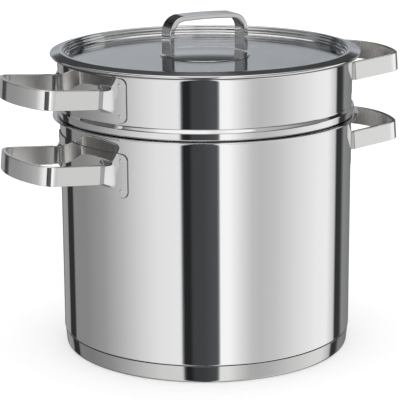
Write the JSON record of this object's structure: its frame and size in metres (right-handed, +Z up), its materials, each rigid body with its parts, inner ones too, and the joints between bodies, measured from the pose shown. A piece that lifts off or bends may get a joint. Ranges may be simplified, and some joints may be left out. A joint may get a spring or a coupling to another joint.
{
  "type": "pasta pot with strainer insert and glass lid",
  "caption": "Tall polished steel cooking pot with an encapsulated base, a handled strainer insert standing in its rim, strap side handles and a glass lid with a strap knob.",
  "frame": {"origin": "on the floor, at the middle of the base's underside", "axes": "+Z up along the pot's axis, X along the line through the two side handles"},
  "size_m": [0.3568, 0.256, 0.2785],
  "materials": {
    "polished_steel": "mirror polished",
    "core_aluminium": "raw",
    "lid_glass": "clear",
    "silicone": "matte",
    "fastener_steel": "satin"
  },
  "bodies": {
    "root": {"base_capsule": "polished_steel", "base_heat_disc": "core_aluminium", "insert_body": "polished_steel", "insert_handle_left": "polished_steel", "insert_handle_right": "polished_steel", "insert_plate_left": "polished_steel", "insert_plate_right": "polished_steel", "knob_bow": "polished_steel", "knob_disc": "polished_steel", "knob_lower_seal": "silicone", "knob_nut": "fastener_steel", "knob_stud": "fastener_steel", "knob_upper_seal": "silicone", "knob_washer": "fastener_steel", "lid_glass": "lid_glass", "lid_rim": "polished_steel", "pot_body": "polished_steel", "pot_handle_left": "polished_steel", "pot_handle_right": "polished_steel", "pot_plate_left": "polished_steel", "pot_plate_right": "polished_steel"}
  },
  "joints": []
}
